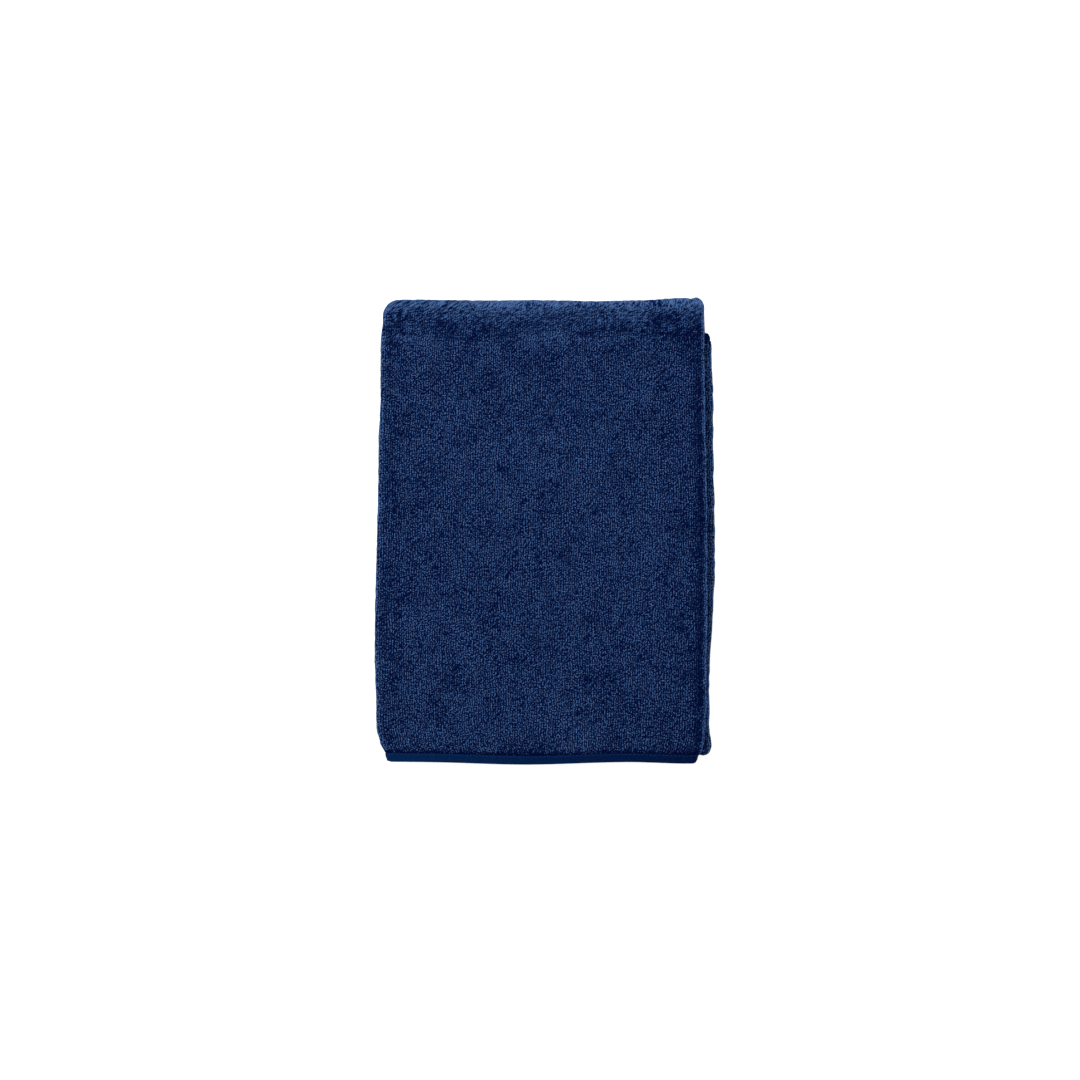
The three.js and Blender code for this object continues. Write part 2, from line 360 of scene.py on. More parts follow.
def pile(across, along, face):
    """How far the pile's tips stand off the middle of the cloth. face is 1 outside the fold and -1 inside it.

    Tufts of three sizes are laid over half the cloth's thickness. The pile is drawn in along the side hem's
    stitches, stands in a soft ridge at the very edge and is pressed down at the tapes. Its second layer is
    flattened round the lower fold and at the end of the top third, which come to lie close to each other when
    the lower fold is open.
    """
    from_edge = np.minimum(across, WIDTH - across)
    lean = along + 0.25 * across * face
    tufts = 0.5 * value_noise(across + 1, lean + 3, PILE_GRAIN, 11 + face)
    tufts += 0.35 * value_noise(across + 1, along + 3, 2.3 * PILE_GRAIN, 21 + face)
    tufts += 0.25 * value_noise(across + 1, along + 3, 6 * PILE_GRAIN, 31 + face)
    height = cloth / 2 + (tufts - TUFT_MEAN) * PILE_DEPTH
    height -= bump(SIDE_HEM, HEM_GROOVE_WIDTH, from_edge) * HEM_GROOVE
    height += bump(EDGE_RIDGE_PLACE, EDGE_RIDGE_WIDTH, from_edge) * EDGE_RIDGE
    begin, whole = FLATTENED_REACH
    flattened = ease(LOWER_FOLD - begin, LOWER_FOLD - whole, along) * ease(MIDDLE + 0.01, MIDDLE, along)
    flattened += ease(LENGTH - begin, LENGTH - whole, along)
    second_layer = ease(WIDTH / 2 - FLATTENED_EDGE, WIDTH / 2 + FLATTENED_EDGE, across)
    height -= flattened * second_layer * FLATTENED
    pressed = np.clip(1 - end_distance(along) / END_TURN, 0, 1)
    return height * (PRESSED_SHARE + (1 - PRESSED_SHARE) * np.sqrt(1 - pressed**2))


TAPE_REACH = 0.9 * MM  # the tape covers this much more of the cloth than its CAD solid
TAPE_GRIP = 0.6 * MM  # the pile begins this far under the tape's edge
binding_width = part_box("top_end_binding")[1].y - top_end_y + TAPE_REACH
base_pile_end = binding_width - TAPE_GRIP
top_pile_end = LENGTH - base_pile_end
tape_half = (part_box("base_end_binding")[1].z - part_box("base_end_binding")[0].z) / 2 - side_radius

FIRST_STEPS = 214  # across the outside of the first layer, which shows when the towel is folded and when open
SIDE_STEPS = 10  # round the side fold
SECOND_STEPS = 98  # across the outside of the second layer
ROUND_STEPS = 6  # round a hemmed edge
INSIDE_STEPS = 14  # across one hidden face inside the fold
INSIDE_TURN_STEPS = 5  # round the inside of the side fold


def section():
    """The outline of the cloth's cross section, as places across and a share of the pile's height. It runs
    along the outside face from edge to edge, half round the hemmed edge, back along the inside face and half
    round again."""
    radius = cloth / 2
    turn = np.linspace(np.pi / 2, -np.pi / 2, ROUND_STEPS + 2)[1:-1]
    outside = np.concatenate([
        np.linspace(radius, layer_width, FIRST_STEPS)[:-1],
        np.linspace(layer_width, layer_width + side_arc, SIDE_STEPS + 1),
        np.linspace(layer_width + side_arc, WIDTH - radius, SECOND_STEPS)[1:],
    ])
    arc = np.linspace(layer_width, layer_width + side_arc, INSIDE_TURN_STEPS)
    inside = np.concatenate([
        np.linspace(WIDTH - radius, layer_width + side_arc, INSIDE_STEPS)[:-1],
        arc[::-1],
        np.linspace(layer_width, radius, INSIDE_STEPS)[1:],
    ])
    far_edge, near_edge = WIDTH - radius + radius * np.cos(turn), radius - radius * np.cos(turn)
    across = np.concatenate([outside, far_edge, inside, near_edge])
    share = np.concatenate([np.ones(len(outside)), np.sin(turn), -np.ones(len(inside)), -np.sin(turn)])
    return across, share


def add_piece(name, points, faces, material):
    """A new mesh object from an array of points and a list of arrays of faces."""
    mesh = bpy.data.meshes.new(name)
    mesh.from_pydata(points.tolist(), [], [face for group in faces for face in group.tolist()])
    mesh.polygons.foreach_set("use_smooth", np.ones(len(mesh.polygons), bool))
    mesh.materials.append(material)
    piece = bpy.data.objects.new(name, mesh)
    bpy.context.scene.collection.objects.link(piece)
    return piece


def tube_faces(rows, columns):
    """The quads of a tube of rows by columns points, closed round its columns, and a face over each end."""
    row, column = np.meshgrid(np.arange(rows - 1), np.arange(columns), indexing="ij")
    here, beside = row * columns + column, row * columns + (column + 1) % columns
    quads = np.stack([here, beside, beside + columns, here + columns], -1).reshape(-1, 4)
    first = np.arange(columns)[::-1].reshape(1, -1)
    last = (rows - 1) * columns + np.arange(columns).reshape(1, -1)
    return [quads, first, last]


def lay_map(piece, across, along):
    """The piece's map: each place's across and along on the flat towel, in metres, which the pile follows."""
    corners = np.empty(len(piece.data.loops), int)
    piece.data.loops.foreach_get("vertex_index", corners)
    layer = piece.data.uv_layers.new(name="flat_towel")
    layer.data.foreach_set("uv", np.stack([across[corners], along[corners]], -1).astype(np.float32).ravel())


def crisp_ends(piece, columns):
    """Keeps the first and the last row of a tube crisp, so that its end faces don't shade its sides."""
    ends = np.empty(2 * len(piece.data.edges), int)
    piece.data.edges.foreach_get("vertices", ends)
    row = ends.reshape(-1, 2) // columns
    last = len(piece.data.vertices) // columns - 1
    crisp = (row == 0).all(1) | (row == last).all(1)
    piece.data.edges.foreach_set("use_edge_sharp", crisp)


# The zones where the pile is painted lighter or darker, each a place and a width over which it fades, in
# metres. The LIGHT zones are painted light and the SHADE zones painted shade: light where it catches the
# folds and edges, shade by the side fold, in the hem's hollow, on the lower layers beside the top third and
# beside the tape. STREAKS and TUFTED are the pile's own grain. The first four are measured from where the top
# third begins, the SIDE zones and TUFTED from the middle of the side fold, the EDGE, HEM and UNDER zones from
# a long edge, and END_SHADE from the tape. A patch is a weight, the size of its hills in metres and their
# seed.
FOLD_LIGHT = (0.001, 0.018)
BEYOND_LIGHT = (0.035, 0.012)
TURN_LIGHT = (-0.5 * cross_arc, 0.007)
STREAKS = (0.02, 0.05)
SIDE_LIGHT, SIDE_SHADE = (0, 0.0035), (0.012, 0.009)
TUFTED = (0.015, 0.03)
EDGE_LIGHT, HEM_SHADE = (0.0015, 0.0017), (0.85 * SIDE_HEM, 0.0065)
UNDER_LIGHT, UNDER_SHADE = (0, 0.004), (0.008, 0.003)
END_SHADE = (0, 0.0035)
CREASE_SIDE = 0.005  # from the crease to the light on its far side
EVEN_TONE = 0.12
PATCHES = ((0.05, 0.05, 41), (0.07, 0.019, 42), (0.1, 0.008, 43))


def tone_and_painted_light(across, along, x, y):
    """How light the pile is painted, from -1 to 1, and EVEN_TONE where it stands evenly. Its random patches
    and tufts are the pile's own tone, and it parts in dark streaks where the base third ends below. The rest
    is
    painted light and shade: painted light where the pile opens and catches the light towards the upper fold,
    round that fold's turn, at the side fold's tip, on the hem's raised edge and on the lower layers' edges,
    and painted shade in a crease, by the side fold, inside the hem and towards the long edges, and beside the
    tape."""
    from_edge = np.minimum(across, WIDTH - across)
    from_side = np.abs(across - WIDTH / 2)
    on_top = along - TOP
    patches = sum(weight * value_noise(across, along, size, seed) for weight, size, seed in PATCHES)
    matted = ease(0.1, 0.6, value_noise(across, along, 0.045, 46))
    patches -= 0.2 * matted * ease(0.3, 0.8, value_noise(across, along, 0.009, 45))
    patches += 0.16 * value_noise(across * 0.3 + 2, along, 0.006, 44) * bump(*STREAKS, on_top)
    by_side = bump(*TUFTED, from_side) * ease(0.3, 0, on_top)
    patches += 0.3 * value_noise(across, along, 0.0048, 47) * by_side
    # Painted light: the pile is painted lighter where it opens towards the upper fold and beyond it, and
    # lighter still round the fold's turn.
    light = 0.34 * bump(*FOLD_LIGHT, on_top) + 0.12 * bump(*BEYOND_LIGHT, on_top)
    light += 0.5 * bump(*TURN_LIGHT, on_top)
    # Painted shade in the crease and painted light on its far side.
    creased = 0.14 * crease(x, y, CREASE_SIDE) - 0.22 * crease(x, y, 0)
    light += creased * (on_top > 0) * (across < layer_width)
    # Painted light at the side fold's tip and painted shade where the fold rounds away beside it.
    side = 0.8 * bump(*SIDE_LIGHT, from_side) - 0.1 * bump(*SIDE_SHADE, from_side)
    # Painted light on the hem's raised edge, and painted shade towards the long edge and in the hollow inside
    # the hem.
    hem = 0.75 * bump(*EDGE_LIGHT, from_edge) - 0.07 * ease(0.07, 0.02, from_edge)
    hem -= 0.2 * bump(*HEM_SHADE, from_edge) * ease(0, 0.07, on_top)
    # Where the lower layers show beside the top third: painted light at their very edge and painted shade
    # just inside it.
    under = 0.55 * bump(*UNDER_LIGHT, from_edge) - 0.08 * bump(*UNDER_SHADE, from_edge)
    hem = np.where(on_top < -cross_arc, under, hem)
    # Painted shade in the pressed groove beside the tape.
    ends = -0.9 * bump(*END_SHADE, end_distance(along))
    return np.clip(EVEN_TONE + patches + light + side + hem + ends, -1, 1)


COMBED = 0.85  # how flat the pile lies past the upper fold
HEM_LYING = 0.6  # and inside the top third's hem
HEM_LYING_ZONE = (0.6 * SIDE_HEM, 0.006)


def lying(across, along):
    """How flat the pile lies, from 0 to 1. It is combed down where the upper fold stretches it, from just
    before the fold's line to a few centimetres past it, and it is pressed down inside the top third's hem."""
    combed = COMBED * ease(UPPER_FOLD - 0.01, UPPER_FOLD, along) * ease(TOP + 0.06, TOP + 0.005, along)
    from_edge = np.minimum(across, WIDTH - across)
    in_hem = HEM_LYING * bump(*HEM_LYING_ZONE, from_edge) * ease(TOP, TOP + 0.1, along)
    return np.maximum(combed, in_hem)


def cloth_length(name, start, end, step, material):
    """A length of the cloth: its section carried along the towel from start to end, and folded."""
    section_across, share = section()
    stops = np.linspace(start, end, round((end - start) / step) + 1)
    along, across = np.meshgrid(stops, section_across, indexing="ij")
    share = np.broadcast_to(share, along.shape)
    outside = pile(across, along, 1)
    inside = np.minimum(pile(across, along, -1), cloth / 2 - INSIDE_EASE)
    height = np.where(share > 0, outside, inside)
    x, y, z = fold(across, along, height * share)
    points = np.stack([x, y, z], -1).reshape(-1, 3)
    piece = add_piece(name, points, tube_faces(len(stops), len(section_across)), material)
    lay_map(piece, across.ravel(), along.ravel())
    crisp_ends(piece, len(section_across))
    for measure, value in (("tone_and_painted_light", tone_and_painted_light(across, along, x, y)), ("lying", lying(across, along))):
        layer = piece.data.attributes.new(measure, "FLOAT", "POINT")
        layer.data.foreach_set("value", value.astype(np.float32).ravel())
    return piece


def add_node(tree, kind, **settings):
    """A node in a tree, with its settings."""
    node = tree.nodes.new(kind)
    for name, value in settings.items():
        setattr(node, name, value)
    return node


def join(tree, node, socket, source):
    """Feeds a node's input, named or counted, from another node's output, or gives it a plain value."""
    if isinstance(source, bpy.types.NodeSocket):
        tree.links.new(source, node.inputs[socket])
    else:
        node.inputs[socket].default_value = source


def reckon(tree, operation, *values):
    """A Math node's answer for its values, each a plain number or another node's output."""
    node = add_node(tree, "ShaderNodeMath", operation=operation)
    for place, value in enumerate(values):
        join(tree, node, place, value)
    return node.outputs[0]


def in_grains(tree, place, stretch):
    """A place with each measure divided by the size of a grain along it, in metres."""
    scaled = add_node(tree, "ShaderNodeVectorMath", operation="DIVIDE")
    join(tree, scaled, 0, place)
    join(tree, scaled, 1, (*stretch, 1))
    return scaled.outputs[0]


def grain(tree, place, stretch, detail, wander):
    """Random grain from 0 to 1 over a place, with the size of a grain along each of its measures."""
    noise = add_node(tree, "ShaderNodeTexNoise", noise_dimensions="2D")
    join(tree, noise, "Vector", in_grains(tree, place, stretch))
    join(tree, noise, "Scale", 1.0)
    join(tree, noise, "Detail", detail)
    join(tree, noise, "Roughness", 0.6)
    join(tree, noise, "Distortion", wander)
    return noise.outputs["Fac"]


def spread(tree, value, low, high):
    """Stretches a value so that low becomes 0 and high becomes 1, cut off at both."""
    node = add_node(tree, "ShaderNodeMapRange")
    join(tree, node, "Value", value)
    join(tree, node, "From Min", low)
    join(tree, node, "From Max", high)
    return node.outputs["Result"]


def mix_colors(tree, share, low, high):
    """The colour that lies a share of the way from low to high."""
    node = add_node(tree, "ShaderNodeMix", data_type="RGBA")
    join(tree, node, "Factor", share)
    join(tree, node, 6, low)  # the Mix node's two colours are its inputs 6 and 7, and their mix its output 2
    join(tree, node, 7, high)
    return node.outputs[2]


def make_group(name, inputs, outputs):
    """A new shader node group with the given sockets, returned with its tree's input and output nodes."""
    group = bpy.data.node_groups.new(name, "ShaderNodeTree")
    for socket, kind in inputs:
        group.interface.new_socket(socket, in_out="INPUT", socket_type=kind)
    for socket, kind in outputs:
        group.interface.new_socket(socket, in_out="OUTPUT", socket_type=kind)
    return group, group.nodes.new("NodeGroupInput"), group.nodes.new("NodeGroupOutput")


def dots(tree, place, stretch):
    """Jittered dots over a place, with their spacing along each of its measures. Gives how near the middle of
    its dot each point is, and a random value for each dot, both from 0 to 1."""
    cells = add_node(tree, "ShaderNodeTexVoronoi", voronoi_dimensions="2D")
    join(tree, cells, "Vector", in_grains(tree, place, stretch))
    join(tree, cells, "Scale", 1.0)
    join(tree, cells, "Randomness", 0.9)
    split = add_node(tree, "ShaderNodeSeparateColor")
    join(tree, split, 0, cells.outputs["Color"])
    return spread(tree, cells.outputs["Distance"], 0.6, 0.1), split.outputs[0]


LEAN = np.radians(45)  # the pile leans to the upper right, and its grain is longer that way
LOOP = (3.4 * MM, 2.0 * MM)  # between two loops of the pile, along the lean and over it
YARN = (1.1 * MM, 1.3 * MM)
TUFT = (6.5 * MM, 2.6 * MM)
CLUMP = (12 * MM, 5 * MM)
PARTING = (12 * MM, 2.8 * MM)  # a parting between leaning tufts
MATTED = (34 * MM, 34 * MM)  # a patch where the pile is matted and parted
WALE = 2.5 * MM  # between two columns of knitted loops
LYING = (5.5 * MM, 1.15 * MM)  # a stroke of pile that lies flat, along the stroke and over it
LYING_TURN = np.radians(24)
WANDER = 24 * MM  # the pile's rows wander from side to side over this length
WANDER_REACH = 4 * MM
NOISE_SPAN = (0.25, 0.75)  # nearly all of a noise's values lie between these
SHORT_LOOP = 0.55  # the shortest loops reach this share of the height of the longest
STROKE_GAIN, STROKE_DROP = 1.8, -0.46
YARN_RELIEF = 0.4
LYING_SMOOTHS = -0.7  # the yarns and wales show this much less where the pile lies flat

terry_group, terry_in, terry_out = make_group(
    "terry_pile",
    [
        ("Tone", "NodeSocketFloat"),
        ("Lying", "NodeSocketFloat"),
        ("Gaps", "NodeSocketColor"),
        ("Body", "NodeSocketColor"),
        ("Tips", "NodeSocketColor"),
    ],
    [("Color", "NodeSocketColor"), ("Height", "NodeSocketFloat")],
)
straight_place = add_node(terry_group, "ShaderNodeUVMap", uv_map="flat_towel").outputs[0]
wandered = grain(terry_group, straight_place, (WANDER, WANDER), 1.0, 0.0)
shift = reckon(terry_group, "MULTIPLY", wandered, WANDER_REACH)
shift_across = add_node(terry_group, "ShaderNodeCombineXYZ")
join(terry_group, shift_across, "X", shift)
wandering = add_node(terry_group, "ShaderNodeVectorMath", operation="ADD")
join(terry_group, wandering, 0, straight_place)
join(terry_group, wandering, 1, shift_across.outputs[0])
flat_place = wandering.outputs[0]
turned = []
for angle in (LEAN, LYING_TURN):
    turn = add_node(terry_group, "ShaderNodeVectorRotate", rotation_type="Z_AXIS")
    join(terry_group, turn, "Vector", flat_place)
    join(terry_group, turn, "Angle", -angle)
    turned.append(turn.outputs[0])
leaning_place, lying_place = turned
stroke = spread(terry_group, grain(terry_group, lying_place, LYING, 1.0, 0.3), 0.3, 0.7)
parting = spread(terry_group, grain(terry_group, leaning_place, PARTING, 1.0, 0.6), 0.54, 0.72)
matted = spread(terry_group, grain(terry_group, straight_place, MATTED, 1.0, 0.0), 0.42, 0.62)
parting = reckon(terry_group, "MULTIPLY", parting, matted)
loop_middle, loop_chance = dots(terry_group, leaning_place, LOOP)
yarn = spread(terry_group, grain(terry_group, flat_place, YARN, 0.0, 0.3), *NOISE_SPAN)
tuft = spread(terry_group, grain(terry_group, leaning_place, TUFT, 1.0, 0.5), *NOISE_SPAN)
clump = spread(terry_group, grain(terry_group, leaning_place, CLUMP, 1.0, 0.6), *NOISE_SPAN)
loop_length = reckon(terry_group, "MULTIPLY_ADD", loop_chance, 1 - SHORT_LOOP, SHORT_LOOP)
loop_height = reckon(terry_group, "MULTIPLY", loop_middle, loop_length)
lying_mix = add_node(terry_group, "ShaderNodeMix", data_type="FLOAT")
join(terry_group, lying_mix, "Factor", terry_in.outputs["Lying"])
join(terry_group, lying_mix, 2, loop_height)  # the Mix node's two numbers are its inputs 2 and 3
join(terry_group, lying_mix, 3, reckon(terry_group, "MULTIPLY_ADD", stroke, STROKE_GAIN, STROKE_DROP))
loop_height = lying_mix.outputs[0]
pile_height = reckon(terry_group, "MULTIPLY_ADD", yarn, YARN_RELIEF, loop_height)
upright = reckon(terry_group, "MULTIPLY_ADD", terry_in.outputs["Lying"], LYING_SMOOTHS, 1.0)
yarn_light = reckon(terry_group, "MULTIPLY_ADD", reckon(terry_group, "SUBTRACT", yarn, 0.5), upright, 0.5)
place_parts = add_node(terry_group, "ShaderNodeSeparateXYZ")
join(terry_group, place_parts, 0, flat_place)
wale_turn = reckon(terry_group, "MULTIPLY", place_parts.outputs["X"], 2 * np.pi / WALE)
wale = reckon(terry_group, "MULTIPLY", reckon(terry_group, "SINE", wale_turn), upright)

# Each layer has a weight in how light the pile is. Its mean is taken off, so that it adds nothing overall.
lightness = terry_in.outputs["Tone"]
# The Tone input carries painted light and shade. loop_height paints taller loops lighter and parting paints
# the partings darker: painted light on the loops and painted shade down into the pile where it parts. The
# yarn, tuft, clump and wale layers are the pile's own grain.
for layer, weight, mean in (
    (loop_height, 0.75, 0.44),
    (yarn_light, 2.1, 0.5),
    (tuft, 0.12, 0.5),
    (clump, 0.14, 0.5),
    (wale, 0.42, 0.0),
    (parting, -0.6, 0.12),
):
    level = reckon(terry_group, "ADD", lightness, -weight * mean)
    lightness = reckon(terry_group, "MULTIPLY_ADD", layer, weight, level)
# Gaps, Body and Tips are the navy pile shaded and lit: Gaps is painted shade deep between the loops and Tips
# is painted light on their tips.
gaps, body, tips = (terry_in.outputs[name] for name in ("Gaps", "Body", "Tips"))
low_color = mix_colors(terry_group, spread(terry_group, lightness, 0.0, 0.5), gaps, body)
pile_color = mix_colors(terry_group, spread(terry_group, lightness, 0.5, 1.1), low_color, tips)
join(terry_group, terry_out, "Color", pile_color)
join(terry_group, terry_out, "Height", pile_height)

terry, terry_tree, terry_shader = make_material("navy_terry")
terry_pattern = add_node(terry_tree, "ShaderNodeGroup", node_tree=terry_group)
terry_tone = add_node(terry_tree, "ShaderNodeAttribute", attribute_name="tone_and_painted_light")
terry_lying = add_node(terry_tree, "ShaderNodeAttribute", attribute_name="lying")
join(terry_tree, terry_pattern, "Tone", terry_tone.outputs["Fac"])
join(terry_tree, terry_pattern, "Lying", terry_lying.outputs["Fac"])
# The pile's colours: painted shade in the gaps, the body, and painted light on the tips.
join(terry_tree, terry_pattern, "Gaps", (0.0, 0.0013, 0.019, 1))
join(terry_tree, terry_pattern, "Body", (0.0018, 0.0107, 0.056, 1))
join(terry_tree, terry_pattern, "Tips", (0.042, 0.091, 0.212, 1))
terry_relief = add_node(terry_tree, "ShaderNodeBump")
join(terry_tree, terry_relief, "Strength", 0.7)
join(terry_tree, terry_relief, "Distance", 0.9 * MM)
join(terry_tree, terry_relief, "Height", terry_pattern.outputs["Height"])
join(terry_tree, terry_shader, "Base Color", terry_pattern.outputs["Color"])
join(terry_tree, terry_shader, "Normal", terry_relief.outputs["Normal"])
join(terry_tree, terry_shader, "Roughness", 0.95)
join(terry_tree, terry_shader, "Specular IOR Level", 0.02)
join(terry_tree, terry_shader, "Sheen Weight", 0.1)
join(terry_tree, terry_shader, "Sheen Roughness", 0.35)
join(terry_tree, terry_shader, "Sheen Tint", (0.1, 0.5, 1.0, 1))

HIDDEN_STEP, TOP_STEP, FOLD_STEP = 2.2 * MM, 1.9 * MM, 0.8 * MM  # between two rows of a length's points
base_cloth = cloth_length("base_cloth", base_pile_end, LOWER_FOLD, HIDDEN_STEP, terry)
lower_fold_cloth = cloth_length("lower_fold_cloth", LOWER_FOLD, MIDDLE, FOLD_STEP, terry)
middle_cloth = cloth_length("middle_cloth", MIDDLE, UPPER_FOLD, HIDDEN_STEP, terry)
upper_fold_cloth = cloth_length("upper_fold_cloth", UPPER_FOLD, TOP, FOLD_STEP, terry)
top_cloth = cloth_length("top_cloth", TOP, top_pile_end, TOP_STEP, terry)

for third, piece in (("base", base_cloth), ("middle", middle_cloth), ("top", top_cloth)):
    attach(piece, third + "_third")
    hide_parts(third + "_upper_layer", third + "_lower_layer", third + "_side_fold")

# Each cross fold is baked where it lies in the pack and stays there, attached to neither third. Its CAD parts
# are hidden.
for piece, line, lower_third, upper_third, nodes in (
    (lower_fold_cloth, 0, "base_third", "middle_third", ("lower_fold_inner", "lower_fold_outer")),
    (upper_fold_cloth, 1, "middle_third", "top_third", ("upper_fold_inner", "upper_fold_outer")),
):
    if line == 0:
        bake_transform(piece)
    else:
        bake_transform(piece)
    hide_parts(*nodes)


# --- The bindings -----------------------------------------------------------------------------------------
# A navy knitted tape is folded over each short end of the cloth and sewn through. It squeezes the cloth thin,
# so the pile bulges up behind it, and its corners are turned in and rounded.

TAPE_BULGE = 0.25 * MM
TAPE_CORNER = 5 * MM
TAPE_EDGE = 1.0 * MM  # the tape's ends stop this far inside the cloth's long edges
TAPE_NOSE = 1.3 * MM  # the tape's own fold is rounded over this length
TAPE_LIP = 0.6  # of its height is left at the tape's edge, where it meets the pile
TAPE_TURN_STEPS = 9
CORNER_DRAW = 0.9  # the share of the tape's width that draws in at its corners
THIN_END, THIN_REACH = 0.45, 2 * MM  # the tape's height at its two ends, as a share, and how far that reaches
PUCKER, PUCKER_WIDTH = 0.13, 1.2 * MM
SOFTNESS, SOFTNESS_SIZE = 0.06, 9 * MM
STITCH_PITCH = 4.5 * MM
STITCH_INSET = 1.3 * MM
stitch_line = binding_width - STITCH_INSET  # from the towel's very end


def tape_section():
    """The outline of a bound end, as distance from the towel's end and height over the cloth's middle. It
    runs along one face, half round the end and back along the other face."""
    flat = np.linspace(binding_width, TAPE_NOSE, TAPE_TURN_STEPS)
    face = tape_half + TAPE_BULGE * np.sin(np.pi * flat / binding_width)
    face[0] = TAPE_LIP * tape_half
    turn = np.linspace(np.pi / 2, -np.pi / 2, TAPE_TURN_STEPS)[1:-1]
    from_end = np.concatenate([flat, TAPE_NOSE * (1 - np.cos(turn)), flat[::-1]])
    above = np.concatenate([face, face[-1] * np.sin(turn), -face[::-1]])
    return from_end, above


def make_binding(name, first_end, material):
    """A tape's outline carried across the towel from edge to edge. Its corners are quarter circles, it thins
    at its ends, and it dips a little at each stitch."""
    from_end, above = tape_section()
    stops = np.linspace(TAPE_EDGE, WIDTH - TAPE_EDGE, round(WIDTH / (STITCH_PITCH / 3)) + 1)
    across, from_end = np.meshgrid(stops, from_end, indexing="ij")
    above = np.broadcast_to(above, across.shape)
    from_edge = np.minimum(across, WIDTH - across) - TAPE_EDGE
    inset = corner_inset(from_edge, TAPE_CORNER)
    from_end = binding_width - (binding_width - from_end) * (1 - CORNER_DRAW * inset / binding_width)
    rounded = np.sqrt(np.clip(1 - (1 - from_edge / THIN_REACH).clip(0) ** 2, 0, 1))
    thin = THIN_END + (1 - THIN_END) * rounded
    at_stitch = 0.5 + 0.5 * np.cos(2 * np.pi * across / STITCH_PITCH)
    pucker = 1 - PUCKER * bump(stitch_line, PUCKER_WIDTH, from_end) * at_stitch
    soft = 1 + SOFTNESS * value_noise(across, from_end + 1, SOFTNESS_SIZE, 51)
    along = from_end if first_end else LENGTH - from_end
    points = np.stack(fold(across, along, above * thin * pucker * soft), -1).reshape(-1, 3)
    faces = tube_faces(*across.shape)
    if first_end:
        faces = [group[:, ::-1] for group in faces]
    piece = add_piece(name, points, faces, material)
    lay_map(piece, across.ravel(), along.ravel())
    crisp_ends(piece, across.shape[1])
    return piece


TAPE_RIB = 0.9 * MM
TAPE_GRAIN = (3.0 * MM, 1.6 * MM)
FOLD_SIDE_PAINTED_LIGHT = 0.42  # painted light: how much lighter the tape is painted at the side fold than at the hem that shows

tape_group, tape_in, tape_out = make_group(
    "knitted_tape",
    [("Rib", "NodeSocketFloat"), ("Shade", "NodeSocketColor"), ("Shine", "NodeSocketColor")],
    [("Color", "NodeSocketColor"), ("Height", "NodeSocketFloat")],
)
flat_place = add_node(tape_group, "ShaderNodeUVMap", uv_map="flat_towel").outputs[0]
split_place = add_node(tape_group, "ShaderNodeSeparateXYZ")
join(tape_group, split_place, 0, flat_place)
rib_turn = reckon(tape_group, "DIVIDE", split_place.outputs["X"], tape_in.outputs["Rib"])
rib_wave = reckon(tape_group, "SINE", reckon(tape_group, "MULTIPLY", rib_turn, 2 * np.pi))
weft_turn = reckon(tape_group, "DIVIDE", split_place.outputs["Y"], tape_in.outputs["Rib"])
weft_wave = reckon(tape_group, "SINE", reckon(tape_group, "MULTIPLY", weft_turn, 3 * np.pi))
knit = reckon(tape_group, "MULTIPLY_ADD", reckon(tape_group, "MULTIPLY", rib_wave, weft_wave), 0.25, 0.5)
yarn_grain = grain(tape_group, flat_place, TAPE_GRAIN, 2.0, 0.3)
knit_light = reckon(tape_group, "MULTIPLY_ADD", knit, 0.4, -0.4)
tape_light = reckon(tape_group, "MULTIPLY_ADD", yarn_grain, 0.9, knit_light)
# Painted light: the tape is painted lighter from the hem that shows towards the side fold.
towards_fold = spread(tape_group, split_place.outputs["X"], 0.0, layer_width)
tape_light = reckon(tape_group, "MULTIPLY_ADD", towards_fold, FOLD_SIDE_PAINTED_LIGHT, tape_light)
shade, shine = tape_in.outputs["Shade"], tape_in.outputs["Shine"]
tape_color = mix_colors(tape_group, spread(tape_group, tape_light, 0.1, 0.9), shade, shine)
join(tape_group, tape_out, "Color", tape_color)
join(tape_group, tape_out, "Height", knit)

tape, tape_tree, tape_shader = make_material("navy_tape")
tape_pattern = add_node(tape_tree, "ShaderNodeGroup", node_tree=tape_group)
join(tape_tree, tape_pattern, "Rib", TAPE_RIB)
# Shade and Shine are the tape's darker and lighter navy. Its yarn grain and knit vary it between them, and
# the painted light moves it towards Shine at the side fold.
join(tape_tree, tape_pattern, "Shade", (0.0001, 0.0018, 0.02, 1))
join(tape_tree, tape_pattern, "Shine", (0.0008, 0.0148, 0.062, 1))
tape_relief = add_node(tape_tree, "ShaderNodeBump")
join(tape_tree, tape_relief, "Strength", 0.35)
join(tape_tree, tape_relief, "Distance", 0.2 * MM)
join(tape_tree, tape_relief, "Height", tape_pattern.outputs["Height"])
join(tape_tree, tape_shader, "Base Color", tape_pattern.outputs["Color"])
join(tape_tree, tape_shader, "Normal", tape_relief.outputs["Normal"])
join(tape_tree, tape_shader, "Roughness", 0.7)
join(tape_tree, tape_shader, "Specular IOR Level", 0.01)

base_binding = make_binding("base_binding", True, tape)
top_binding = make_binding("top_binding", False, tape)
for third, piece in (("base", base_binding), ("top", top_binding)):
    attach(piece, third + "_third")
    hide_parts(third + "_end_binding")


# --- The stitches -----------------------------------------------------------------------------------------
# Navy polyester thread. One row of lock stitches holds each tape near its edge, and one sinks into the pile
# along each long edge, where the cloth is turned in for a hem. Each stitch arches out of the cloth and dips
# back into it.

STITCH_LENGTH = 3.0 * MM
THREAD_RADIUS = 0.34 * MM
THREAD_TAPER = 0.45  # the thread's radius at a stitch's ends, as a share
STITCH_RISE = 0.3 * MM
STITCH_DIP = 0.15 * MM  # a stitch's ends lie this far under its row's height
TAPE_STITCH_LIFT = 0.12 * MM
THREAD_SINK = 0.75 * MM  # the side stitches lie this far under the cloth's face
STITCH_RINGS = 5
THREAD_SIDES = 6


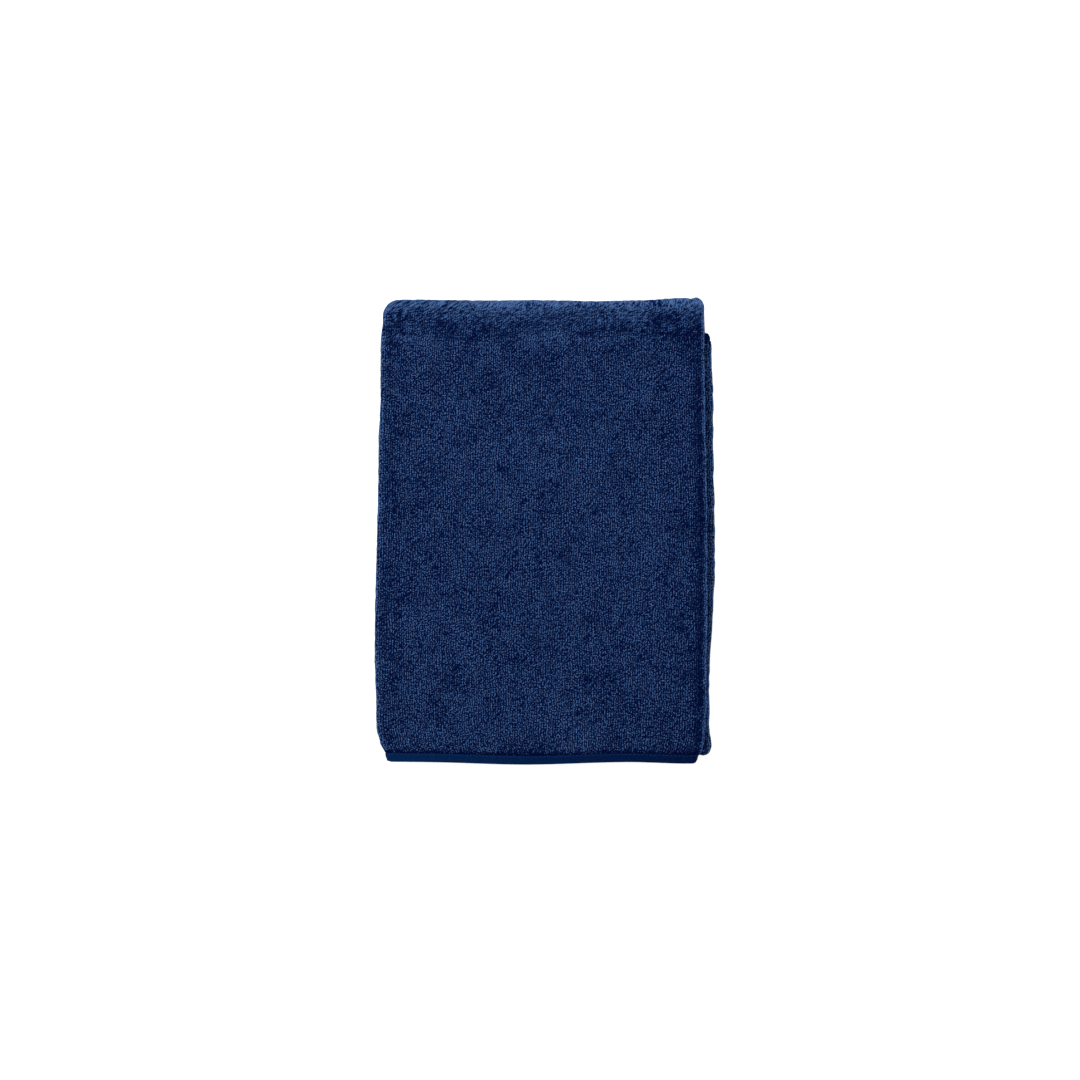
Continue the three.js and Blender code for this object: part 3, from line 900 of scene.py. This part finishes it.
def make_stitches(name, across, along, above, lengthwise, material):
    """A row of stitches, one at each place across and along. A stitch is a tube whose middle line rises over
    its length as half a sine wave, and whose radius swells from both ends."""
    run = np.linspace(-0.5, 0.5, STITCH_RINGS)
    turn = np.arange(THREAD_SIDES) * 2 * np.pi / THREAD_SIDES
    swell = np.cos(np.pi * run)[:, None]
    radius = THREAD_RADIUS * (THREAD_TAPER + (1 - THREAD_TAPER) * swell)
    forward = np.broadcast_to((STITCH_LENGTH * run)[:, None], (STITCH_RINGS, THREAD_SIDES))
    sideways = radius * np.cos(turn)
    upward = radius * np.sin(turn) + STITCH_RISE * swell - STITCH_DIP
    across, along = across[:, None, None], along[:, None, None]
    if lengthwise:
        place = fold(across + sideways, along + forward, above + upward + 0 * across)
    else:
        place = fold(across + forward, along + sideways, above + upward + 0 * across)
    points = np.stack(place, -1).reshape(-1, 3)
    one = tube_faces(STITCH_RINGS, THREAD_SIDES)
    if lengthwise:
        one = [group[:, ::-1] for group in one]
    start = np.arange(across.shape[0])[:, None, None] * STITCH_RINGS * THREAD_SIDES
    faces = [(start + group).reshape(-1, group.shape[1]) for group in one]
    return add_piece(name, points, faces, material)


thread, thread_tree, thread_shader = make_material("navy_thread")
thread_place = add_node(thread_tree, "ShaderNodeTexCoord").outputs["Object"]
thread_grain = grain(thread_tree, thread_place, (0.5 * MM, 0.5 * MM), 1.0, 0.0)
dark_thread, light_thread = (0.002, 0.012, 0.055, 1), (0.005, 0.024, 0.09, 1)
thread_share = spread(thread_tree, thread_grain, 0.3, 0.7)
thread_color = mix_colors(thread_tree, thread_share, dark_thread, light_thread)
join(thread_tree, thread_shader, "Base Color", thread_color)
join(thread_tree, thread_shader, "Roughness", 0.6)
join(thread_tree, thread_shader, "Specular IOR Level", 0.08)

tape_stops = np.arange(TAPE_EDGE + STITCH_PITCH / 2, WIDTH - TAPE_EDGE, STITCH_PITCH)
tape_stitch_height = tape_half + TAPE_STITCH_LIFT
for third, line in (("base", stitch_line), ("top", LENGTH - stitch_line)):
    places = np.full(len(tape_stops), line)
    row = make_stitches(third + "_binding_stitches", tape_stops, places, tape_stitch_height, False, thread)
    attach(row, third + "_third")
    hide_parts(third + "_end_stitching")

side_stops = np.arange(base_pile_end + STITCH_PITCH, top_pile_end - STITCH_PITCH / 2, STITCH_PITCH)
side_stitch_height = cloth / 2 - THREAD_SINK
for third, start, end in (("base", 0, LOWER_FOLD), ("middle", MIDDLE, UPPER_FOLD), ("top", TOP, LENGTH)):
    stops = side_stops[(side_stops > start + STITCH_LENGTH / 2) & (side_stops < end - STITCH_LENGTH / 2)]
    edges = np.repeat([SIDE_HEM, WIDTH - SIDE_HEM], len(stops))
    row = make_stitches(third + "_side_stitches", edges, np.tile(stops, 2), side_stitch_height, True, thread)
    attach(row, third + "_third")
    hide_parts(third + "_upper_side_stitching", third + "_lower_side_stitching")
